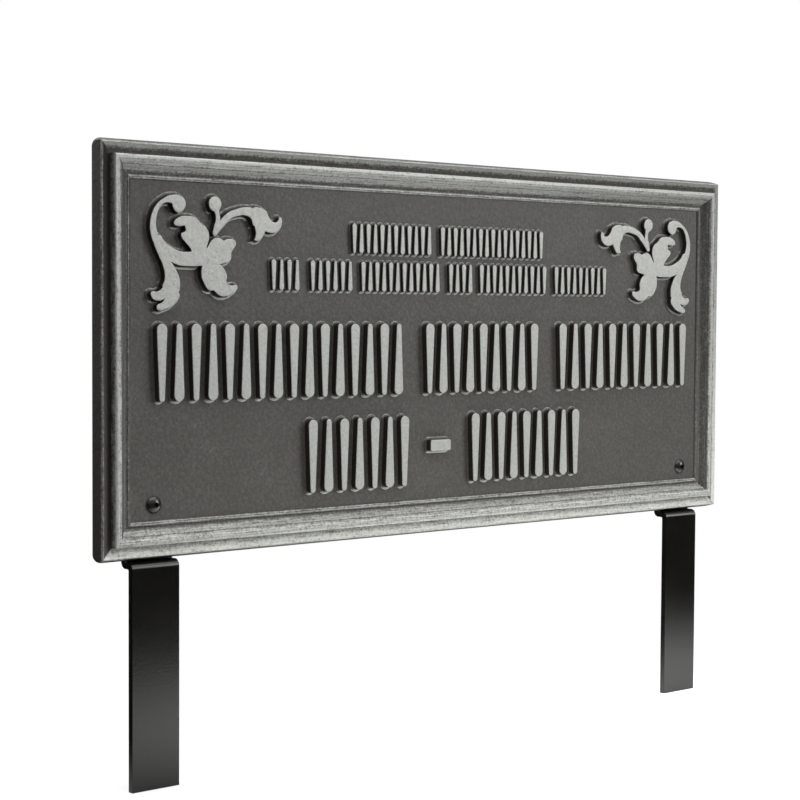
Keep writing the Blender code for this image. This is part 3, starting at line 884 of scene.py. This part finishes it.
def turned_piece(name, profile, axis):
    """A profile of radius and height, drawn point by point and spun round the axis along Y."""
    bpy.ops.mesh.primitive_plane_add(size=MM, location=(0, 0, 0))
    obj = added(name)
    bpy.ops.object.mode_set(mode="EDIT")
    bpy.ops.mesh.select_all(action="SELECT")
    bpy.ops.mesh.merge(type="CENTER")
    first = Vector((axis.x + profile[0][0], profile[0][1], axis.z))
    bpy.ops.transform.translate(value=first)
    for before, after in zip(profile, profile[1:]):
        bpy.ops.mesh.extrude_region_move(
            TRANSFORM_OT_translate={"value": (after[0] - before[0], after[1] - before[1], 0)}
        )
    bpy.ops.mesh.select_all(action="SELECT")
    bpy.ops.mesh.spin(steps=TURN_STEPS, angle=2 * math.pi, center=(axis.x, 0, axis.z), axis=(0, 1, 0))
    bpy.ops.mesh.select_all(action="SELECT")
    bpy.ops.mesh.remove_doubles(threshold=MERGED)
    bpy.ops.mesh.normals_make_consistent(inside=False)
    bpy.ops.object.mode_set(mode="OBJECT")
    return obj


def screw(side, finish):
    """A domed head, its rim and a chamfered shank, turned as one, with the socket cut in."""
    low, high = screw_boxes[side]
    axis = screw_axes[side]
    half = (high.x - low.x) / 2
    seat = low.y + HEAD_HEIGHT
    rise = HEAD_HEIGHT - HEAD_RIM
    dome = (half**2 + rise**2) / (2 * rise)
    reach = math.asin(half / dome)
    chamfer = SHANK_RADIUS / 4
    angles = [reach * step / DOME_STEPS for step in range(DOME_STEPS + 1)]
    profile = [(dome * math.sin(angle), low.y + dome * (1 - math.cos(angle))) for angle in angles]
    profile[-1] = (profile[-1][0] - RIM_ROUNDING, profile[-1][1] - DOME_DROP)
    profile += [
        (half, low.y + rise + RIM_ROUNDING), (half, seat - RIM_ROUNDING), (half - RIM_ROUNDING, seat),
        (SHANK_RADIUS, seat), (SHANK_RADIUS, high.y - chamfer), (SHANK_RADIUS - chamfer, high.y), (0, high.y),
    ]
    obj = turned_piece("button_screw_" + side, profile, axis)
    bpy.ops.mesh.primitive_cylinder_add(
        vertices=6, radius=SOCKET_ACROSS / 2 / math.cos(math.pi / 6), depth=2 * SOCKET_DEPTH,
        rotation=(math.pi / 2, 0, 0), location=(axis.x, low.y, axis.z),
    )
    cut(obj, added("socket"))
    smoothed(obj)
    coated(obj, finish)
    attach(obj, "root")
    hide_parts("screw_" + side)


screw_finish = black_oxide()
screw("left", screw_finish)
screw("right", screw_finish)

# Floor, light and camera
# A plain pale floor that fades out into a white studio, under plain soft light: a wide softbox
# overhead, one at the right in front and a weak one at the left behind. The floor also glows in an
# oval round the plaque's feet, a painted pool of light that lights the stakes and plaque from below.
# The camera stands at the left, a little above the plaque's middle, at the photograph's angle.

FLOOR_RADIUS = 1.6
FLOOR_SIDES = 96
FLOOR_WHITE = (0.94, 0.94, 0.93, 1)
FLOOR_CENTRE = (0.08, -0.08, 0)
FLOOR_STRETCH = (0.55, 1, 1)
FLOOR_FADE = (0.10, 0.25)
GLOW_FADE = (0.06, 0.16)
GLOW_INSIDE = (1.0, 1.0, 1.0, 1)
GLOW_OUTSIDE = (0.15, 0.15, 0.15, 1)
SOFTBOX_AIM = Vector((0, 0, 0.2))
SKY_BELOW = (0.02, 0.02, 0.02, 1)
SKY_ABOVE = (0.60, 0.60, 0.60, 1)
SKY_RISE = (-0.05, 0.7)
BACKDROP = (1, 1, 1, 1)
CAMERA_PLACE = (-0.64614, -0.72607, 0.22046)
CAMERA_YAW = math.radians(-40.185)
CAMERA_PITCH = math.radians(90 - 2.733)
CAMERA_ROLL = math.radians(0.339)
CAMERA_LENS = 84.66

bpy.ops.object.select_all(action="DESELECT")
bpy.ops.mesh.primitive_circle_add(
    vertices=FLOOR_SIDES, radius=FLOOR_RADIUS, fill_type="NGON", location=(0, 0, 0)
)
floor = added("floor")
floor_material, floor_shader, floor_place = new_material("pale_floor")
floor_offset = floor_place.node(
    "ShaderNodeVectorMath", {"operation": "SUBTRACT"}, {0: floor_place, 1: FLOOR_CENTRE}
)
floor_offset = floor_offset.node(
    "ShaderNodeVectorMath", {"operation": "MULTIPLY"}, {0: floor_offset, 1: FLOOR_STRETCH}
)
floor_distance = floor_offset.node(
    "ShaderNodeVectorMath", {"operation": "LENGTH"}, {0: floor_offset}, output=1
)
feed(floor_shader, "Base Color", FLOOR_WHITE)
feed(floor_shader, "Roughness", 0.9)
feed(floor_shader, "Alpha", 1 - floor_distance.ramp(*FLOOR_FADE))
# Painted light: the floor glows, brightest in an oval round the stakes' feet, as a pool of light from below
feed(floor_shader, "Emission Color", floor_distance.ramp(*GLOW_FADE).blend(GLOW_INSIDE, GLOW_OUTSIDE))
feed(floor_shader, "Emission Strength", 1.0)
coated(floor, floor_material)


def softbox(name, place, size, power):
    """A rectangular light of the given width and height, turned towards the plaque."""
    light = bpy.data.lights.new(name, "AREA")
    light.shape = "RECTANGLE"
    light.size, light.size_y = size
    light.energy = power
    obj = bpy.data.objects.new(name, light)
    obj.location = place
    obj.rotation_euler = (SOFTBOX_AIM - Vector(place)).to_track_quat("-Z", "Y").to_euler()
    bpy.context.scene.collection.objects.link(obj)


softbox("overhead_softbox", (0, -0.4, 1.8), (2.4, 2.0), 30)
softbox("front_softbox", (1.3, -1.4, 0.8), (1.0, 1.0), 15.5)
softbox("back_softbox", (-1.5, 1.2, 1.0), (1.2, 1.2), 12)

world = bpy.data.worlds.new("studio")
bpy.context.scene.world = world
world.use_nodes = True
seen = Shade(world.node_tree).node("ShaderNodeLightPath", output="Is Camera Ray")
aloft = seen.node("ShaderNodeTexCoord", output="Generated").axes()[2]
around = aloft.ramp(*SKY_RISE).blend(SKY_BELOW, SKY_ABOVE)
feed(world.node_tree.nodes["Background"], "Color", seen.blend(around, BACKDROP))

camera = bpy.data.objects.new("camera", bpy.data.cameras.new("camera"))
camera.data.lens = CAMERA_LENS
camera.matrix_world = (
    Matrix.Translation(CAMERA_PLACE)
    @ Matrix.Rotation(CAMERA_YAW, 4, "Z")
    @ Matrix.Rotation(CAMERA_PITCH, 4, "X")
    @ Matrix.Rotation(CAMERA_ROLL, 4, "Z")
)
bpy.context.scene.collection.objects.link(camera)
bpy.context.scene.camera = camera
bpy.context.scene.view_settings.view_transform = "Standard"
